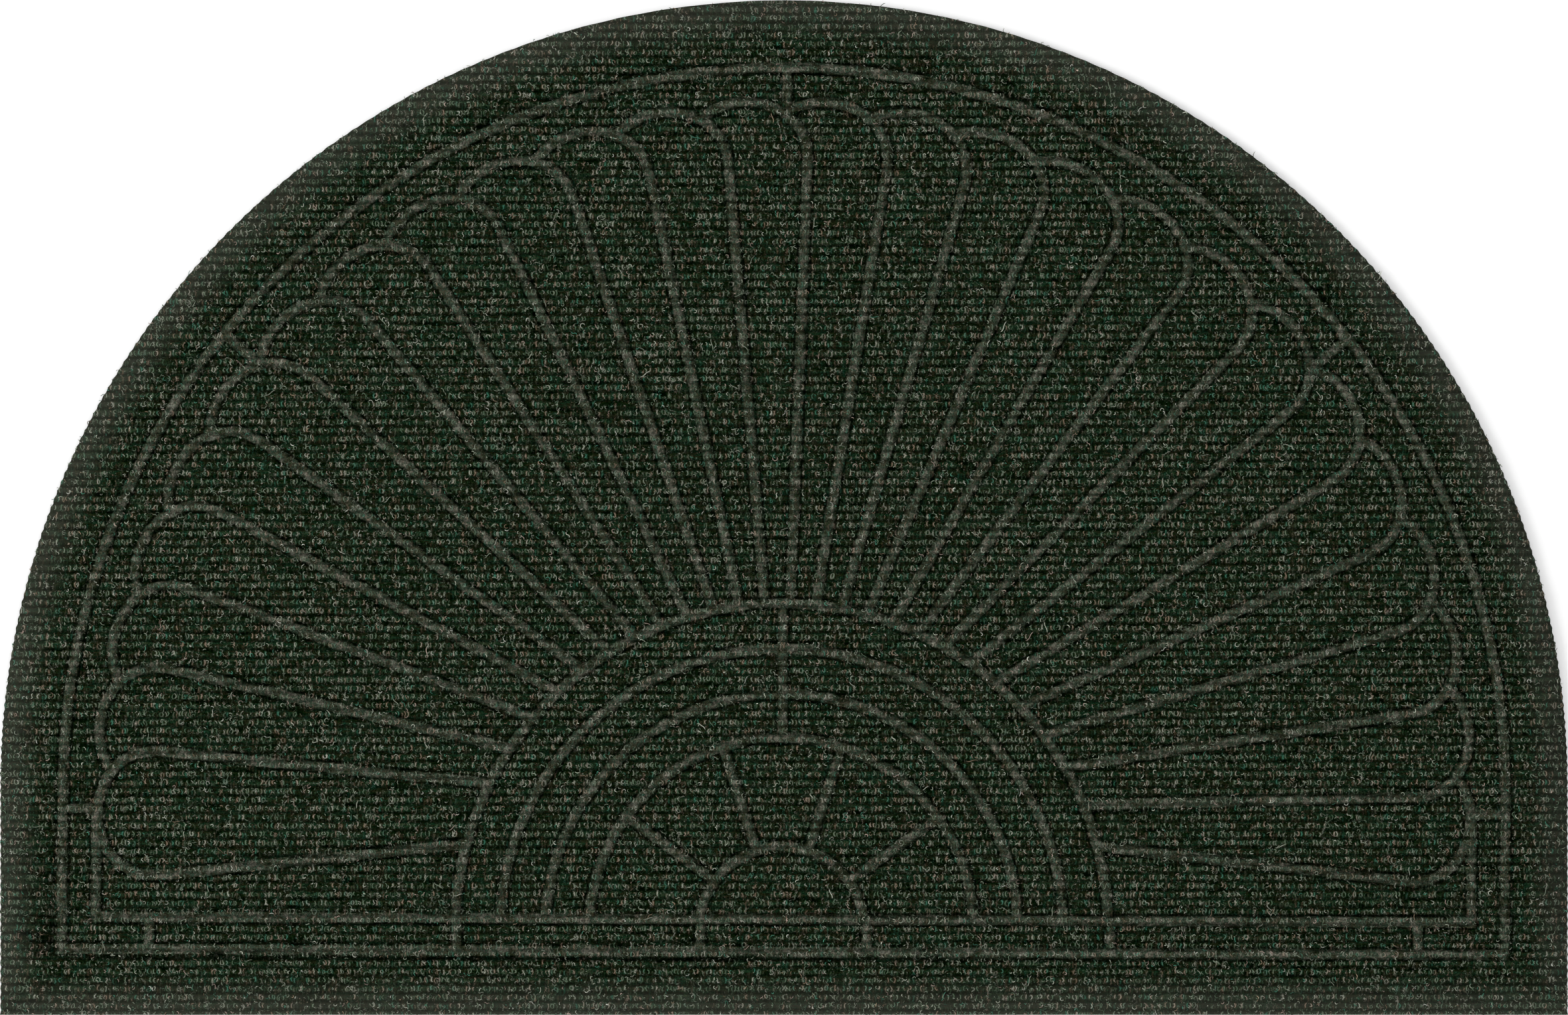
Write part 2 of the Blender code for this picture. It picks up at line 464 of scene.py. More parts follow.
    def _row_shade(self, mat: Shading, field: PileField, plain: object) -> object:
        """Paint shade into the valleys between the rows and into the creases at the foot of the ribs.

        Args:
            mat: The material that they belong to.
            field: The values that the creases' edges read.
            plain: How far the rows are flattened.

        Returns:
            The painted shade factor that the colour is multiplied by.
        """
        along = mat.add("SeparateXYZ", {0: field.spot}).outputs[1]
        row = mat.calc("MULTIPLY", along, 2 * math.pi / ROW_PITCH)
        # Painted shade: the colour darkens in the valleys between the rows.
        crest = mat.fade(mat.calc("COSINE", row), -1.0, 0.6, 0.58, 1.12)
        calm = mat.calc("MULTIPLY", plain, 0.35)
        crest = mat.add("Mix", {0: calm, 2: crest, 3: 0.98}).outputs[0]
        # Painted shade along the foot of the ribs, made ragged by the streaks' tone.
        crease = mat.attribute(Channel.CREASE_AND_SHADE.value)
        ragged_crease_shade = mat.calc("MULTIPLY", crease, mat.fade(field.tone, 0.35, 0.6, 1.2, 0.6))
        return mat.calc("MULTIPLY", crest, mat.fade(ragged_crease_shade, 0.0, 1.0, 1.0, 0.36))

    def _relief(self, mat: Shading, field: PileField) -> object:
        """Raise the loops, the grain and the drawn threads in the normal."""
        height = mat.calc("ADD", mat.calc("MULTIPLY", field.loop, 0.5), mat.calc("MULTIPLY", field.fine, 0.5))
        height = mat.calc("ADD", height, mat.calc("MULTIPLY", field.drawn, 0.25))
        relief = {"Height": height, "Distance": self.bump_height, "Strength": self.bump_strength}
        return mat.add("Bump", relief).outputs[0]

    @staticmethod
    def _grey(mat: Shading, value: object) -> object:
        """Make a grey of one value."""
        return mat.add("CombineColor", {0: value, 1: value, 2: value}).outputs[0]

    @staticmethod
    def _arcs(mat: Shading, site: object, cells: bpy.types.Node, side: object, radius: float) -> object:
        """Draw one upright arc on each loop, bowed to the left or to the right.

        Args:
            mat: The material that they belong to.
            site: The coordinates of the loops' cells.
            cells: The Voronoi node of the loops.
            side: A number for each cell that picks the way its arc bows.
            radius: The arcs' radius in millimetres.

        Returns:
            The arcs' strength.
        """
        away = mat.add("VectorMath", {0: site, 1: cells.outputs["Position"]}, operation="SUBTRACT")
        real = mat.add("VectorMath", {0: away.outputs[0], 1: (LOOP_PITCH / MM, ROW_PITCH / MM, 0)},
                       operation="MULTIPLY")
        parts = mat.add("SeparateXYZ", {0: real.outputs[0]})
        way = mat.calc("GREATER_THAN", side, 0.45)
        bow = mat.calc("SUBTRACT", mat.calc("MULTIPLY", way, 2 * radius), radius)
        across = mat.calc("POWER", mat.calc("SUBTRACT", parts.outputs[0], bow), 2.0)
        along = mat.calc("POWER", parts.outputs[1], 2.0)
        reach = mat.calc("SQRT", mat.calc("ADD", across, along))
        line = mat.fade(mat.calc("ABSOLUTE", mat.calc("SUBTRACT", reach, radius)), 0.10, 0.32, 1.0, 0.0)
        return mat.calc("MULTIPLY", line, mat.fade(along, 1.2, 2.4, 1.0, 0.0))

    @staticmethod
    def _threads(mat: Shading, spot: object, size: float, seed: float) -> object:
        """Draw thin curled lines, broken into short pieces.

        Args:
            mat: The material that they belong to.
            spot: The coordinates they follow.
            size: How wide their curls are, in metres.
            seed: A number that changes where they break.

        Returns:
            The lines' strength.
        """
        field = mat.cloud(spot, size, 1.0, 0.4, 0.8)
        away = mat.calc("ABSOLUTE", mat.calc("SUBTRACT", field, 0.5))
        line = mat.fade(away, 0.008, 0.040, 1.0, 0.0)
        gate = mat.cloud(mat.add("Mapping", {"Vector": spot, "Location": (seed, seed, 0)}).outputs[0], size)
        return mat.calc("MULTIPLY", line, mat.fade(gate, 0.52, 0.60))


@dataclass(frozen=True)
class FibreFinish:
    """One curled staple fibre, in the colour that the curl carries."""

    name: str = "curled_fibre"
    attribute: str = "tint"

    def make(self) -> bpy.types.Material:
        """Make the material.

        Returns:
            The fibres' material.
        """
        mat = Shading(self.name)
        tint = mat.attribute(self.attribute, "Color")
        worn = mat.fade(mat.cloud(mat.place(), 0.9 * MM, 2.0), 0.3, 0.7, 0.72, 1.15)
        grey = mat.add("CombineColor", {0: worn, 1: worn, 2: worn}).outputs[0]
        mat.feed(mat.shader, "Base Color", mat.blend(1.0, tint, grey, "MULTIPLY"))
        mat.feed(mat.shader, "Roughness", mat.fade(worn, 0.7, 1.2, 0.8, 0.6))
        mat.feed(mat.shader, "Specular IOR Level", 0.15)
        return mat.material


@dataclass(frozen=True)
class FloorFinish:
    """A plain white floor with a trace of unevenness."""

    white: Colour = (0.90, 0.90, 0.90, 1)
    worn: Colour = (0.88, 0.88, 0.88, 1)
    drift_size: float = 0.4
    glow: float = 0.2

    def make(self) -> bpy.types.Material:
        """Make the material.

        Returns:
            The floor's material.
        """
        mat = Shading("plain_floor")
        drift = mat.cloud(mat.place(), self.drift_size)
        mat.feed(mat.shader, "Base Color", mat.blend(drift, self.white, self.worn))
        mat.feed(mat.shader, "Roughness", 0.9)
        mat.feed(mat.shader, "Emission Color", (1, 1, 1, 1))
        mat.feed(mat.shader, "Emission Strength", self.glow)
        return mat.material


@dataclass
class PileFace:
    """The mat's one piece of carpet, with its fabric rows, its sunk creases and its cut edge."""

    plan: MatPlan
    row_lines: int = 4
    column_pitch: float = 18.0 * MM
    crease_width: float = 1.1 * MM
    crease_depth: float = 0.45 * MM
    row_depth: float = 0.50 * MM
    unevenness: float = 0.35 * MM
    swell_size: float = 14 * MM
    lump_size: float = 4 * MM
    fray_size: float = 3 * MM
    edge_wear: float = 0.55 * MM
    shoulder_crease: float = 0.30
    strip_width: float = 1.8 * MM
    map_margin: float = 1.08
    face_middle: float = 0.34
    back_middle: float = 0.84
    back_width: float = 0.55
    back_depth: float = 0.40

    def build(self) -> bpy.types.Object:
        """Cut, raise and mark the face.

        Returns:
            The carpet's object.
        """
        base = self._welded_copy()
        self._widen_strip(base)
        self._add_creases(base)
        whole = self._cut_rows(base)
        base.free()
        self._mark(whole)
        self._raise_pile(whole)
        mesh = bpy.data.meshes.new("carpet")
        whole.normal_update()
        whole.to_mesh(mesh)
        whole.free()
        mesh.shade_smooth()
        mesh.set_sharp_from_angle(angle=math.radians(75))
        piece = bpy.data.objects.new("carpet", mesh)
        bpy.context.scene.collection.objects.link(piece)
        return piece

    def _welded_copy(self) -> bmesh.types.BMesh:
        """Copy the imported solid, weld it and join its flat triangles."""
        base = bmesh.new()
        base.from_mesh(frame["nodes"][NODE].data)
        bmesh.ops.remove_doubles(base, verts=base.verts, dist=WELD)
        bmesh.ops.dissolve_limit(base, angle_limit=math.radians(0.3), verts=base.verts, edges=base.edges)
        return base

    def _is_ground(self, face: bmesh.types.BMFace) -> bool:
        """Tell whether a face is part of the flat ground between the ribs."""
        level = abs(face.calc_center_median().z - self.plan.face_height) < 0.05 * MM
        return level and face.normal.z > 0.999

    @staticmethod
    def _is_slope(face: bmesh.types.BMFace) -> bool:
        """Tell whether a face is part of the gentle slope outside the frame."""
        return 0.99 < face.normal.z < 0.9995

    def _meets_slope(self, face: bmesh.types.BMFace) -> bool:
        """Tell whether a face borders the gentle slope."""
        return any(self._is_slope(other) for edge in face.edges for other in edge.link_faces)

    def _widen_strip(self, base: bmesh.types.BMesh) -> None:
        """Widen the flat strip between the frame and the slope, so that a crease fits on it."""
        base.normal_update()
        plan = self.plan
        strips = {face for face in base.faces if self._is_ground(face) and self._meets_slope(face)}
        line = {vert for face in strips for vert in face.verts if any(map(self._is_slope, vert.link_faces))}
        wide = max(abs(vert.co.x) for vert in line) - 0.5 * MM
        foot = min(vert.co.y for vert in line) + 0.5 * MM
        moves = []
        for vert in line:
            x, y, _ = vert.co
            away = Vector((math.copysign(1.0, x) if abs(x) > wide else 0.0, -1.0 if y < foot else 0.0, 0.0))
            if y > plan.arch_y:
                away = Vector((x, y - plan.arch_y, 0)).normalized()
            moves.append((vert, away))
        for vert, away in moves:
            vert.co += away * self.strip_width
        log.info("strip: %d faces, %d points moved", len(strips), len(moves))

    def _add_creases(self, base: bmesh.types.BMesh) -> None:
        """Add a loop just inside each panel, so that the ground can sink at the foot of the ribs."""
        # The crease mask set here also paints shade along the foot of the ribs in the finish, as well as
        # sinking the ground.
        crease = base.verts.layers.float.new(Channel.CREASE_AND_SHADE.value)
        base.normal_update()
        plan = self.plan
        for face in base.faces:
            if 0.05 < face.normal.z < 0.95 and face.calc_center_median().z > plan.face_height:
                for vert in face.verts:
                    rise = (vert.co.z - plan.face_height) / plan.rib_height
                    foot = 1.0 if rise < 0.03 else self.shoulder_crease
                    vert[crease] = max(vert[crease], foot if rise < 0.75 else 0.0)
        panels = {face for face in base.faces if self._is_ground(face) and not self._meets_slope(face)}
        bmesh.ops.inset_region(base, faces=list(panels), thickness=self.crease_width, use_boundary=True,
                               use_even_offset=True)
        for face in panels:
            for vert in face.verts:
                vert[crease] = 0.0
        base.normal_update()
        turned = sum(1 for face in base.faces
                     if face.normal.z < -0.5 and face.calc_center_median().z > plan.edge_height)
        log.info("creases: %d panels, %d faces turned over", len(panels), turned)

    def _cut_rows(self, base: bmesh.types.BMesh) -> bmesh.types.BMesh:
        """Cut the solid at the lines of its rows, one row at a time, and join the rows again.

        Args:
            base: The welded solid.

        Returns:
            The cut solid.
        """
        whole = bmesh.new()
        whole.verts.layers.float.new(Channel.CREASE_AND_SHADE.value)
        scratch = bpy.data.meshes.new("row")
        first = math.floor(self.plan.foot_y / ROW_PITCH)
        last = math.ceil(self.plan.top_y / ROW_PITCH)
        for row in range(first, last):
            strip = base.copy()
            self._cut(strip, Vector((0, (row + 1) * ROW_PITCH, 0)), Vector((0, 1, 0)), True)
            self._cut(strip, Vector((0, row * ROW_PITCH, 0)), Vector((0, -1, 0)), True)
            for line in range(1, self.row_lines):
                y = (row + line / self.row_lines) * ROW_PITCH
                self._cut(strip, Vector((0, y, 0)), Vector((0, 1, 0)), False)
            self._cut_columns(strip)
            strip.to_mesh(scratch)
            strip.free()
            whole.from_mesh(scratch)
        bpy.data.meshes.remove(scratch)
        bmesh.ops.remove_doubles(whole, verts=whole.verts, dist=WELD)
        loose = sum(1 for edge in whole.edges if not edge.is_manifold)
        log.info("rows: %d faces, %d open edges", len(whole.faces), loose)
        return whole

    @staticmethod
    def _cut(strip: bmesh.types.BMesh, place: Vector, normal: Vector, trim: bool) -> None:
        """Cut a mesh with a plane.

        Args:
            strip: The mesh.
            place: A point on the plane.
            normal: The plane's direction.
            trim: Whether what lies beyond the plane is cut away.
        """
        every = strip.verts[:] + strip.edges[:] + strip.faces[:]
        bmesh.ops.bisect_plane(strip, geom=every, dist=WELD, plane_co=place, plane_no=normal,
                               clear_outer=trim)

    def _cut_columns(self, strip: bmesh.types.BMesh) -> None:
        """Cut the upper faces of a strip across the rows.

        Args:
            strip: The mesh of one row.
        """
        strip.normal_update()
        upper = [face for face in strip.faces if face.normal.z > 0.05]
        edges = {edge for face in upper for edge in face.edges}
        verts = {vert for face in upper for vert in face.verts}
        geometry = sorted(verts, key=lambda v: v.index) + sorted(edges, key=lambda e: e.index) + upper
        count = int(self.plan.half_width / self.column_pitch)
        for column in range(-count, count + 1):
            cut = bmesh.ops.bisect_plane(strip, geom=geometry, dist=WELD, plane_no=Vector((1, 0, 0)),
                                         plane_co=Vector((column * self.column_pitch, 0, 0)))
            geometry = cut["geom"]

    def _mark(self, whole: bmesh.types.BMesh) -> None:
        """Write on each point how far it is up a rib, out on the border, and whether it has pile."""
        rib = whole.verts.layers.float.new(Channel.RIB.value)
        border = whole.verts.layers.float.new(Channel.BORDER.value)
        pile = whole.verts.layers.float.new(Channel.PILE.value)
        plan = self.plan
        for vert in whole.verts:
            vert[rib] = min(max((vert.co.z - plan.face_height) / plan.rib_height, 0.0), 1.0)
            fall = (plan.face_height - vert.co.z) / (plan.face_height - plan.edge_height)
            vert[border] = min(max(fall, 0.0), 1.0)
            vert[pile] = 1.0 if vert.co.z > plan.edge_height * 0.9 else 0.0

    def _raise_pile(self, whole: bmesh.types.BMesh) -> None:
        """Raise the rows, sink the creases and roughen the cut edge."""
        rib = whole.verts.layers.float[Channel.RIB.value]
        border = whole.verts.layers.float[Channel.BORDER.value]
        crease = whole.verts.layers.float[Channel.CREASE_AND_SHADE.value]
        pile = whole.verts.layers.float[Channel.PILE.value]
        plan = self.plan
        for vert in whole.verts:
            x, y, _ = vert.co
            if vert[border] > 0.995:
                self._wear_edge(vert, vert[pile])
            if vert[pile] == 0.0:
                continue
            wave = math.cos(2 * math.pi * y / ROW_PITCH)
            calm = 1.0 - 0.35 * vert[rib] - 0.35 * vert[border]
            lift = self.row_depth * 0.5 * wave * calm
            lift += self.unevenness * noise.noise(Vector((x, y, 0)) / self.swell_size)
            lift += self.unevenness * 0.6 * noise.noise(Vector((x, y, 0.2)) / self.lump_size)
            lift -= self.crease_depth * vert[crease]
            vert.co.z += lift

    def _wear_edge(self, vert: bmesh.types.BMVert, pile: float) -> None:
        """Move a point of the cut edge onto the true outline, then in and out with the rows.

        Args:
            vert: The point.
            pile: 1 on the upper edge and 0 on the underside.
        """
        plan = self.plan
        x, y, z = vert.co
        centre = Vector((0, plan.arch_y, 0))
        if y > plan.arch_y:
            away = Vector((x, y - plan.arch_y, 0))
            if away.length < plan.half_width * 0.98:
                return
            out = away.normalized()
            place = centre + out * plan.half_width
        elif plan.half_width - abs(x) < 1 * MM:
            out = Vector((math.copysign(1.0, x), 0, 0))
            place = Vector((math.copysign(plan.half_width, x), y, 0))
        elif y - plan.foot_y < 1 * MM:
            out = Vector((0, -1, 0))
            place = Vector((x, plan.foot_y, 0))
        else:
            return
        valley = 0.5 - 0.5 * math.cos(2 * math.pi * y / ROW_PITCH)
        stray = noise.noise(Vector((x, y, 0)) / self.fray_size)
        place -= out * self.edge_wear * (valley * abs(out.x) + 0.5 * abs(stray)) * (0.6 + 0.4 * pile)
        vert.co = Vector((place.x, place.y, z))

    def lay_out(self, piece: bpy.types.Object) -> None:
        """Give the carpet a flat map, seen from above, with the underside beside the face.

        Args:
            piece: The carpet.
        """
        mesh = piece.data
        layer = mesh.uv_layers.new(name=BAKE_MAP)
        corners = np.empty(len(mesh.loops), dtype=np.int32)
        mesh.loops.foreach_get("vertex_index", corners)
        points = np.empty(len(mesh.vertices) * 3, dtype=np.float32)
        mesh.vertices.foreach_get("co", points)
        points = points.reshape(-1, 3)[corners]
        normals = np.empty(len(mesh.polygons) * 3, dtype=np.float32)
        mesh.polygons.foreach_get("normal", normals)
        counts = np.empty(len(mesh.polygons), dtype=np.int32)
        mesh.polygons.foreach_get("loop_total", counts)
        under = np.repeat(normals.reshape(-1, 3)[:, 2] < 0.0, counts)
        span = self.map_margin * (points[:, 0].max() - points[:, 0].min())
        flat = np.empty((len(points), 2), dtype=np.float32)
        flat[:, 0] = 0.5 + points[:, 0] / span
        flat[:, 1] = self.face_middle + points[:, 1] / span
        flat[under, 0] = 0.5 + points[under, 0] / span * self.back_width
        flat[under, 1] = self.back_middle + points[under, 1] / span * self.back_depth
        layer.data.foreach_set("uv", flat.ravel())


@dataclass(frozen=True)
class Tint:
    """A fibre colour and how common it is."""

    colour: tuple[float, float, float]
    share: float


class Curl(Enum):
    """The shapes in which a fibre curls: arcs of a radius in millimetres, a turn in degrees and steps."""

    RING = ((0.95, 285, 6),)
    LOOP = ((0.70, 215, 6),)
    HOOK = ((0.60, 170, 4), (2.4, 30, 2))
    ARC = ((1.30, 105, 6),)
    SMALL = ((0.50, 240, 6),)
    ESS = ((0.75, 150, 3), (0.75, -140, 3))
    CRIMP = ((0.70, 95, 2), (0.70, -100, 2), (0.80, 90, 2))
    STRAY = ((4.2, 42, 3), (2.8, -58, 3))


@dataclass
class FibreCrop:
    """The loose fibres that curl out of the face, as joined meshes of three-sided threads."""

    plan: MatPlan
    carpet: bpy.types.Object
    seed: int = 11
    thread: float = 0.20 * MM
    pieces: int = 5
    loops: int = 17000
    free: int = 10600
    edge: int = 260
    lift: float = 0.25 * MM
    clump_size: float = 5 * MM
    shape_shares: tuple[float, ...] = (0.10, 0.24, 0.18, 0.16, 0.12, 0.10, 0.08, 0.02)
    tints: tuple[Tint, ...] = (
        Tint((0.110, 0.160, 0.105), 0.16),
        Tint((0.200, 0.240, 0.175), 0.30),
        Tint((0.300, 0.330, 0.255), 0.24),
        Tint((0.420, 0.440, 0.360), 0.10),
        Tint((0.560, 0.570, 0.500), 0.02),
        Tint((0.060, 0.210, 0.140), 0.06),
        Tint((0.240, 0.180, 0.120), 0.06),
        Tint((0.400, 0.310, 0.260), 0.06),
    )

    def build(self) -> list[bpy.types.Object]:
        """Plant the fibres.

        Returns:
            The joined pieces of fibre.
        """
        draw = np.random.default_rng(self.seed)
        shapes = self._shapes()
        sites = self._sites(draw)
        order = draw.permutation(len(sites["place"]))
        group = self._planting(shapes)
        pieces = []
        for number, part in enumerate(np.array_split(order, self.pieces)):
            pieces.append(self._plant(f"fibres_{number + 1}", {k: v[part] for k, v in sites.items()}, group))
        for shape in list(shapes.objects):
            bpy.data.objects.remove(shape, do_unlink=True)
        bpy.data.collections.remove(shapes)
        bpy.data.node_groups.remove(group)
        return pieces

    def _shapes(self) -> bpy.types.Collection:
        """Make one thread of each curl."""
        shapes = bpy.data.collections.new("curls")
        for number, curl in enumerate(Curl):
            mesh = bpy.data.meshes.new(f"curl_{number:02d}")
            thread = self._thread(curl)
            thread.to_mesh(mesh)
            thread.free()
            shapes.objects.link(bpy.data.objects.new(f"curl_{number:02d}", mesh))
        return shapes

    def _thread(self, curl: Curl) -> bmesh.types.BMesh:
        """Spin a three-sided ring along the arcs of a curl, and close its ends to points.

        Args:
            curl: The curl to follow.

        Returns:
            The thread's mesh, about its own middle.
        """
        thread = bmesh.new()
        stand = Matrix.Rotation(math.pi / 2, 4, "X")
        ring = bmesh.ops.create_circle(thread, segments=3, radius=self.thread, matrix=stand)["verts"]
        ends = [ring[:]]
        front = ring[:] + list({edge for vert in ring for edge in vert.link_edges})
        spot = Vector((0, 0, 0))
        heading = math.pi / 2
        for radius, turn, steps in curl.value:
            side = math.copysign(math.pi / 2, turn)
            middle = spot + radius * MM * Vector((math.cos(heading + side), math.sin(heading + side), 0))
            angle = math.radians(turn)
            lift = Vector((0, 0, 0.05 * MM))
            spun = bmesh.ops.spin(thread, geom=front, cent=middle, axis=(0, 0, 1), dvec=lift,
                                  angle=angle, steps=steps)
            front = spun["geom_last"]
            spot = middle + Matrix.Rotation(angle, 3, "Z") @ (spot - middle)
            heading += angle
        ends.append([item for item in front if isinstance(item, bmesh.types.BMVert)])
        for end in ends:
            centre = sum((vert.co for vert in end), Vector()) / len(end)
            bmesh.ops.pointmerge(thread, verts=end, merge_co=centre)
        bmesh.ops.recalc_face_normals(thread, faces=thread.faces)
        middle = sum((vert.co for vert in thread.verts), Vector()) / len(thread.verts)
        bmesh.ops.translate(thread, verts=thread.verts, vec=-middle)
        chord = Matrix.Rotation(math.pi / 2 - math.atan2(spot.y, spot.x), 3, "Z")
        bmesh.ops.rotate(thread, verts=thread.verts, cent=(0, 0, 0), matrix=chord)
        return thread

    def _sites(self, draw: np.random.Generator) -> dict[str, np.ndarray]:
        """Choose where the fibres stand, and how each one lies.

        Args:
            draw: The source of random numbers.

        Returns:
            Arrays of place, turn, size, shape and tint, one row a fibre.
        """
        ground = BVHTree.FromObject(self.carpet, bpy.context.evaluated_depsgraph_get())
        standing = self._seat(ground, self._row_places(draw), draw, self.loops)
        lying = self._seat(ground, self._free_places(draw), draw, self.free)
        stray = self._edge_places(draw)
        counts = [len(standing), len(lying), len(stray)]
        place = np.vstack([standing, lying, stray])
        total = len(place)
        kind = np.repeat(np.arange(3), counts)
        lean = np.where(kind == 0, draw.normal(30, 24, total), draw.normal(0, 16, total))
        upright = draw.normal(0, 30, total) + 180 * draw.integers(0, 2, total)
        spin = np.where(kind == 0, upright, draw.uniform(0, 360, total))
        roll = draw.uniform(-25, 25, total)
        turn = np.radians(np.column_stack([lean, roll, spin]))
        size = draw.normal(1.0, 0.17, total).clip(0.6, 1.5)
        shape = draw.choice(len(Curl), total, p=np.array(self.shape_shares))
        share = np.array([tint.share for tint in self.tints])
        colours = np.array([tint.colour for tint in self.tints])
        tint = colours[draw.choice(len(colours), total, p=share / share.sum())]
        tint = tint * draw.lognormal(0.0, 0.22, (total, 1))
        return {"place": place, "turn": turn, "size": size, "shape": shape, "tint": tint}

    def _row_places(self, draw: np.random.Generator) -> np.ndarray:
        """Scatter places along the crests of the rows."""
        rows = np.arange(math.ceil(self.plan.foot_y / ROW_PITCH), math.floor(self.plan.top_y / ROW_PITCH) + 1)
        columns = np.arange(-self.plan.half_width, self.plan.half_width, LOOP_PITCH)
        x, y = np.meshgrid(columns, rows * ROW_PITCH)
        x = x.ravel() + draw.normal(0, 0.45 * MM, x.size)
        y = y.ravel() + draw.normal(0, 0.65 * MM, y.size)
        return draw.permutation(np.column_stack([x, y]))

    def _free_places(self, draw: np.random.Generator) -> np.ndarray:
        """Scatter places all over the mat's box."""
        count = self.free * 4
        x = draw.uniform(-self.plan.half_width, self.plan.half_width, count)
        y = draw.uniform(self.plan.foot_y, self.plan.top_y, count)
        return np.column_stack([x, y])

    def _seat(self, ground: BVHTree, places: np.ndarray, draw: np.random.Generator,
              count: int) -> np.ndarray:
        """Drop places onto the face, thin them out in clumps, and keep so many.

        Args:
            ground: The face.
            places: The level places.
            draw: The source of random numbers.
            count: How many to keep.

        Returns:
            The seated places.
        """
        seated = []
        chance = draw.uniform(0, 1, len(places))
        down = Vector((0, 0, -1))
        for (x, y), luck in zip(places, chance):
            hit, _, _, _ = ground.ray_cast(Vector((x, y, 0.1)), down)
            if hit is None or hit.z < self.plan.edge_height * 0.5:
                continue
            clump = 0.75 + 0.9 * noise.noise(Vector((x, y, 0.5)) / self.clump_size)
            if luck < clump:
                seated.append((x, y, hit.z + self.lift))
            if len(seated) == count:
                break
        log.info("fibres: %d of %d seated", len(seated), count)
        return np.array(seated)

    def _edge_places(self, draw: np.random.Generator) -> np.ndarray:
        """Scatter places round the cut edge, a little in or out of it."""
        places = []
        for share in draw.uniform(0, 1, self.edge):
            spot, out = self.plan.outline(share)
            spot += out * draw.normal(-0.5, 0.6) * MM
            places.append((spot.x, spot.y, draw.uniform(0.35, 1.0) * self.plan.edge_height))
        return np.array(places)

    @staticmethod
    def _planting(shapes: bpy.types.Collection) -> bpy.types.NodeTree:
        """Make the node group that stands a curl on each point and makes it real.

        Args:
            shapes: The curls to pick from.

        Returns:
            The node group.
        """
        group = bpy.data.node_groups.new("plant_fibres", "GeometryNodeTree")
        group.interface.new_socket("Geometry", in_out="INPUT", socket_type="NodeSocketGeometry")
        group.interface.new_socket("Geometry", in_out="OUTPUT", socket_type="NodeSocketGeometry")
        nodes = group.nodes
        links = group.links
        entry = nodes.new("NodeGroupInput")
        result = nodes.new("NodeGroupOutput")
        curls = nodes.new("GeometryNodeCollectionInfo")
        curls.inputs["Collection"].default_value = shapes
        curls.inputs["Separate Children"].default_value = True
        curls.inputs["Reset Children"].default_value = True
        stand = nodes.new("GeometryNodeInstanceOnPoints")
        stand.inputs["Pick Instance"].default_value = True
        real = nodes.new("GeometryNodeRealizeInstances")
        links.new(entry.outputs[0], stand.inputs["Points"])
        links.new(curls.outputs[0], stand.inputs["Instance"])
        for name, kind, socket in (
            ("shape", "INT", "Instance Index"),
            ("turn", "FLOAT_VECTOR", "Rotation"),
            ("size", "FLOAT_VECTOR", "Scale"),
        ):
            read = nodes.new("GeometryNodeInputNamedAttribute")
            read.data_type = kind
            read.inputs["Name"].default_value = name
            links.new(read.outputs["Attribute"], stand.inputs[socket])
        links.new(stand.outputs[0], real.inputs[0])
        links.new(real.outputs[0], result.inputs[0])
        return group

    def _plant(self, name: str, sites: dict[str, np.ndarray], group: bpy.types.NodeTree) -> bpy.types.Object:
        """Make one joined piece of fibre from its sites.

        Args:
            name: The piece's name.
            sites: The arrays that _sites gives, for this piece.
            group: The planting node group.

        Returns:
            The piece.
        """
        count = len(sites["place"])
        points = bpy.data.meshes.new("sites")
        points.vertices.add(count)
        points.vertices.foreach_set("co", sites["place"].astype(np.float32).ravel())
        turn = points.attributes.new("turn", "FLOAT_VECTOR", "POINT")
        turn.data.foreach_set("vector", sites["turn"].astype(np.float32).ravel())
        size = points.attributes.new("size", "FLOAT_VECTOR", "POINT")
        size.data.foreach_set("vector", np.repeat(sites["size"], 3).astype(np.float32))
        shape = points.attributes.new("shape", "INT", "POINT")
        shape.data.foreach_set("value", sites["shape"].astype(np.int32))
        tint = points.attributes.new("tint", "FLOAT_COLOR", "POINT")
        colours = np.column_stack([sites["tint"], np.ones(count)])
        tint.data.foreach_set("color", colours.astype(np.float32).ravel())
        holder = bpy.data.objects.new("sites", points)
        bpy.context.scene.collection.objects.link(holder)
        holder.modifiers.new("plant", "NODES").node_group = group
        ready = holder.evaluated_get(bpy.context.evaluated_depsgraph_get())
        mesh = bpy.data.meshes.new_from_object(ready)
        bpy.data.objects.remove(holder, do_unlink=True)
        bpy.data.meshes.remove(points)
        for extra in ("turn", "size", "shape"):
            if extra in mesh.attributes:
                mesh.attributes.remove(mesh.attributes[extra])
        mesh.name = name
        mesh.shade_smooth()
        self._lay_out(mesh, count)
        piece = bpy.data.objects.new(name, mesh)
        bpy.context.scene.collection.objects.link(piece)
        return piece

    @staticmethod
    def _lay_out(mesh: bpy.types.Mesh, count: int) -> None:
        """Give each fibre its own cell of the map, and each of its faces a part of that cell.

        Args:
            mesh: The joined fibres.
            count: How many fibres there are.
        """
        layer = mesh.uv_layers.new(name=BAKE_MAP)
        faces = len(mesh.polygons)
        each = faces // count
        side = math.ceil(math.sqrt(count))
        inner = math.ceil(math.sqrt(each))
        counts = np.empty(faces, dtype=np.int32)
        mesh.polygons.foreach_get("loop_total", counts)
        starts = np.empty(faces, dtype=np.int32)
        mesh.polygons.foreach_get("loop_start", starts)
        face = np.repeat(np.arange(faces), counts)
        corner = np.arange(len(mesh.loops)) - starts[face]
        fibre = face // each
        part = face % each
        right = np.isin(corner, (1, 2))
        upper = corner >= 2
        u = (fibre % side + (part % inner + 0.12 + 0.76 * right) / inner) / side
        v = (fibre // side + (part // inner + 0.12 + 0.76 * upper) / inner) / side
        layer.data.foreach_set("uv", np.column_stack([u, v]).astype(np.float32).ravel())


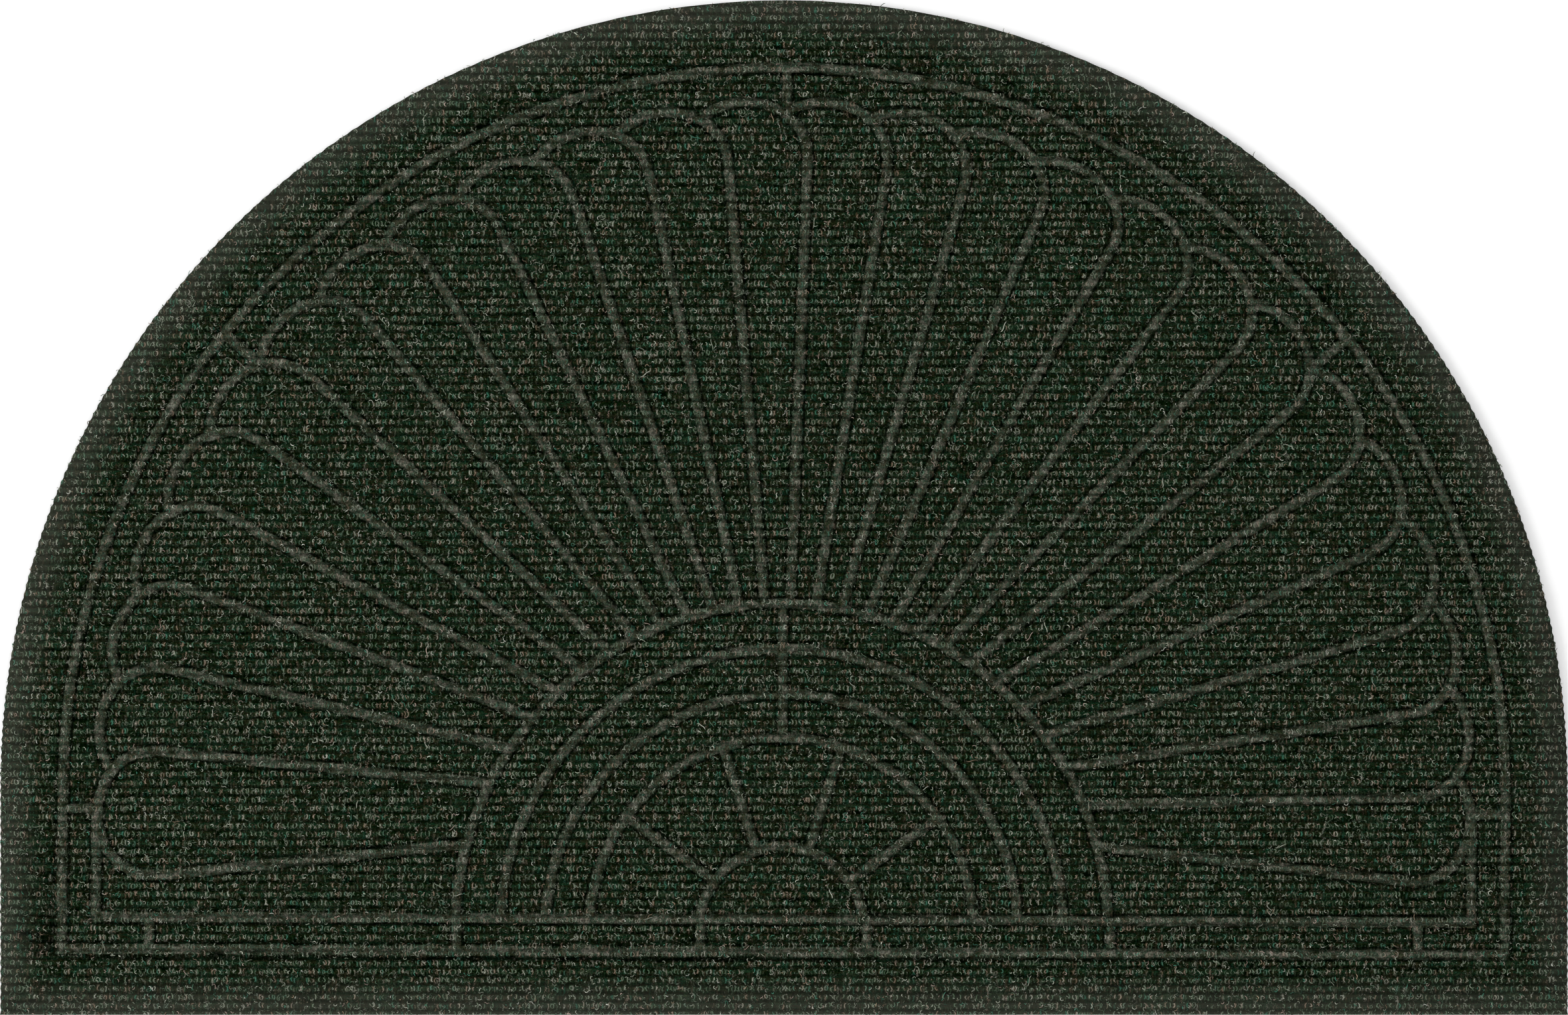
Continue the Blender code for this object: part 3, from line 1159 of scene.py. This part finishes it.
@dataclass
class Studio:
    """The pale floor, the soft lights and the camera straight above the mat."""

    plan: MatPlan
    distance: float = 3.2
    sensor: float = 36.0
    floor_size: float = 8.0
    floor_gap: float = 0.2 * MM
    sky_strength: float = 0.72
    key_place: tuple[float, float, float] = (-2.4, 0.3, 1.7)
    key_size: float = 1.4
    key_power: float = 40.0
    fill_place: tuple[float, float, float] = (1.2, 1.0, 2.8)
    fill_size: float = 2.4
    fill_power: float = 8.0

    def build(self) -> None:
        """Set up the floor, the lights and the camera."""
        self._lay_floor()
        self._set_sky()
        self._add_softbox("key_light", Vector(self.key_place), self.key_size, self.key_power)
        self._add_softbox("fill_light", Vector(self.fill_place), self.fill_size, self.fill_power)
        self._aim_camera()

    def _lay_floor(self) -> None:
        """Lay the floor under the mat."""
        sheet = bmesh.new()
        bmesh.ops.create_grid(sheet, x_segments=8, y_segments=8, size=self.floor_size / 2)
        mesh = bpy.data.meshes.new("floor")
        sheet.to_mesh(mesh)
        sheet.free()
        mesh.transform(Matrix.Translation((0, 0, -self.floor_gap)))
        floor = bpy.data.objects.new("floor", mesh)
        mesh.materials.append(FloorFinish().make())
        bpy.context.scene.collection.objects.link(floor)

    def _set_sky(self) -> None:
        """Light the room evenly with white."""
        world = bpy.data.worlds.new("studio")
        world.use_nodes = True
        sky = world.node_tree.nodes["Background"]
        sky.inputs["Color"].default_value = (1, 1, 1, 1)
        sky.inputs["Strength"].default_value = self.sky_strength
        bpy.context.scene.world = world
        bpy.context.scene.view_settings.view_transform = "Standard"

    @staticmethod
    def _add_softbox(name: str, place: Vector, size: float, power: float) -> None:
        """Hang a square soft light that faces the middle of the mat.

        Args:
            name: The light's name.
            place: Where it hangs.
            size: Its side in metres.
            power: Its power in watts.
        """
        light = bpy.data.lights.new(name, "AREA")
        light.size = size
        light.energy = power
        lamp = bpy.data.objects.new(name, light)
        lamp.location = place
        lamp.rotation_euler = (-place).to_track_quat("-Z", "Y").to_euler()
        bpy.context.scene.collection.objects.link(lamp)

    def _aim_camera(self) -> None:
        """Hang the camera so that the mat fills the picture from side to side."""
        camera = bpy.data.cameras.new("camera")
        camera.sensor_width = self.sensor
        reach = self.distance - self.plan.edge_height
        camera.lens = self.sensor * reach / (2 * self.plan.half_width)
        eye = bpy.data.objects.new("camera", camera)
        eye.location = (0, (self.plan.top_y + self.plan.foot_y) / 2, self.distance)
        bpy.context.scene.collection.objects.link(eye)
        bpy.context.scene.camera = eye


def main() -> None:
    """Build the mat's pieces in order, dress them and set up the studio."""
    plan = MatPlan.from_node(NODE)
    face = PileFace(plan)
    carpet = face.build()
    face.lay_out(carpet)
    carpet.data.materials.append(PileFinish().make())
    log.info("%s: %d faces", carpet.name, len(carpet.data.polygons))

    fibres = FibreCrop(plan, carpet).build()
    finish = FibreFinish().make()
    for piece in fibres:
        piece.data.materials.clear()
        piece.data.materials.append(finish)
        log.info("%s: %d faces", piece.name, len(piece.data.polygons))

    for piece in [carpet, *fibres]:
        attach(piece, BODY)
    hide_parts(NODE)
    Studio(plan).build()


if __name__ == "__main__":
    main()
